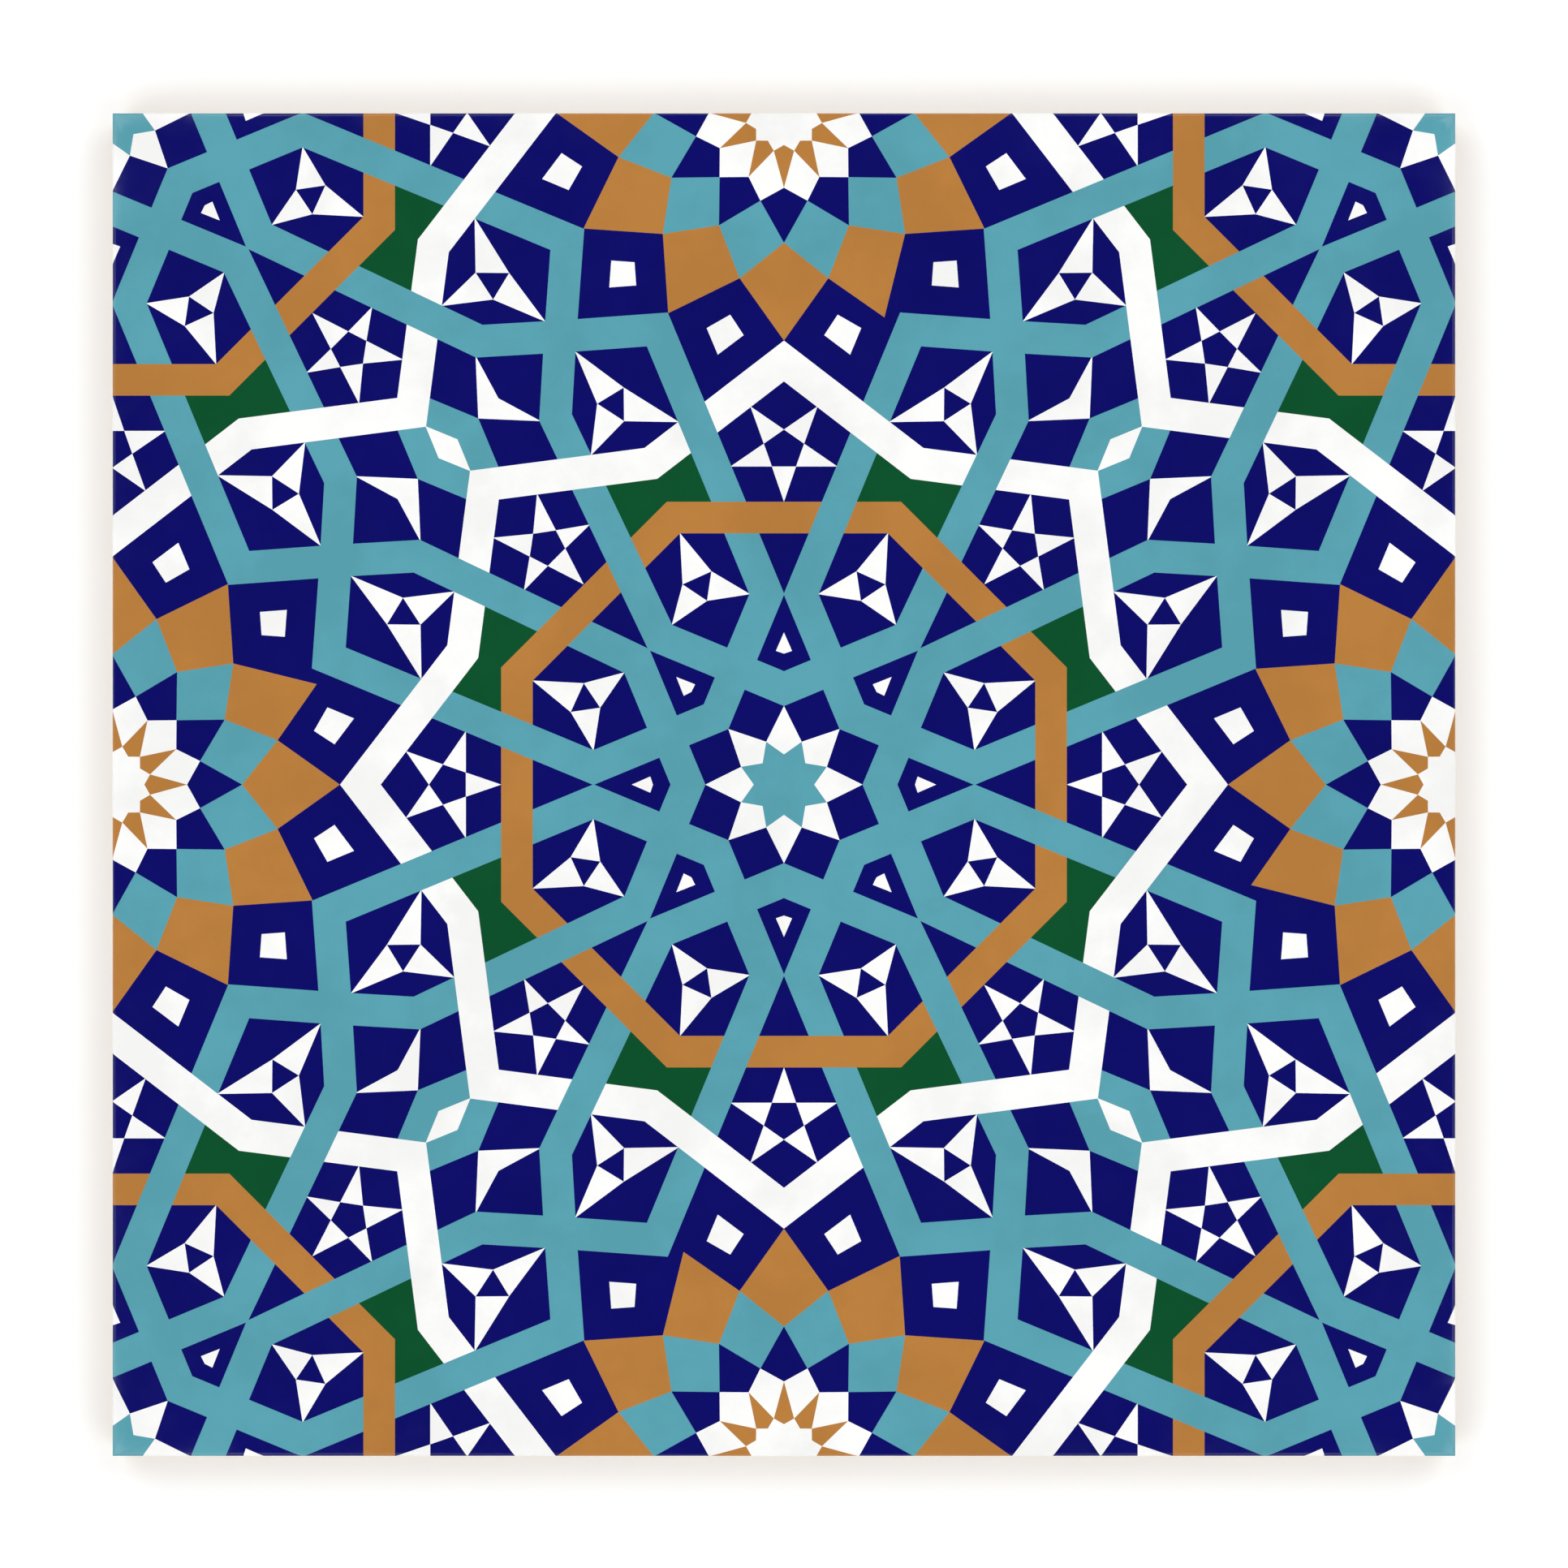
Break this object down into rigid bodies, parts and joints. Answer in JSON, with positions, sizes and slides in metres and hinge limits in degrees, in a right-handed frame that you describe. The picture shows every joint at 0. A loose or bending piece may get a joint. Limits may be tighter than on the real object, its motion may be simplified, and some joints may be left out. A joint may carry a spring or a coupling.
{
  "type": "moroccan arabesque tile",
  "caption": "Square glazed ceramic wall or floor tile with an interlaced star pattern on its face and a moulded grid of shallow pockets on its back.",
  "frame": {"origin": "centre of the back, in the plane of its ribs and rim", "axes": "+Z out of the glazed face; +X to the right and +Y up across the pattern as pictured, each along a side"},
  "size_m": [0.2, 0.2, 0.008],
  "materials": {
    "glazed_tile": "glazed face with a printed pattern, bare fired clay on the sides and back"
  },
  "bodies": {
    "root": {"tile": "glazed_tile"}
  },
  "joints": []
}
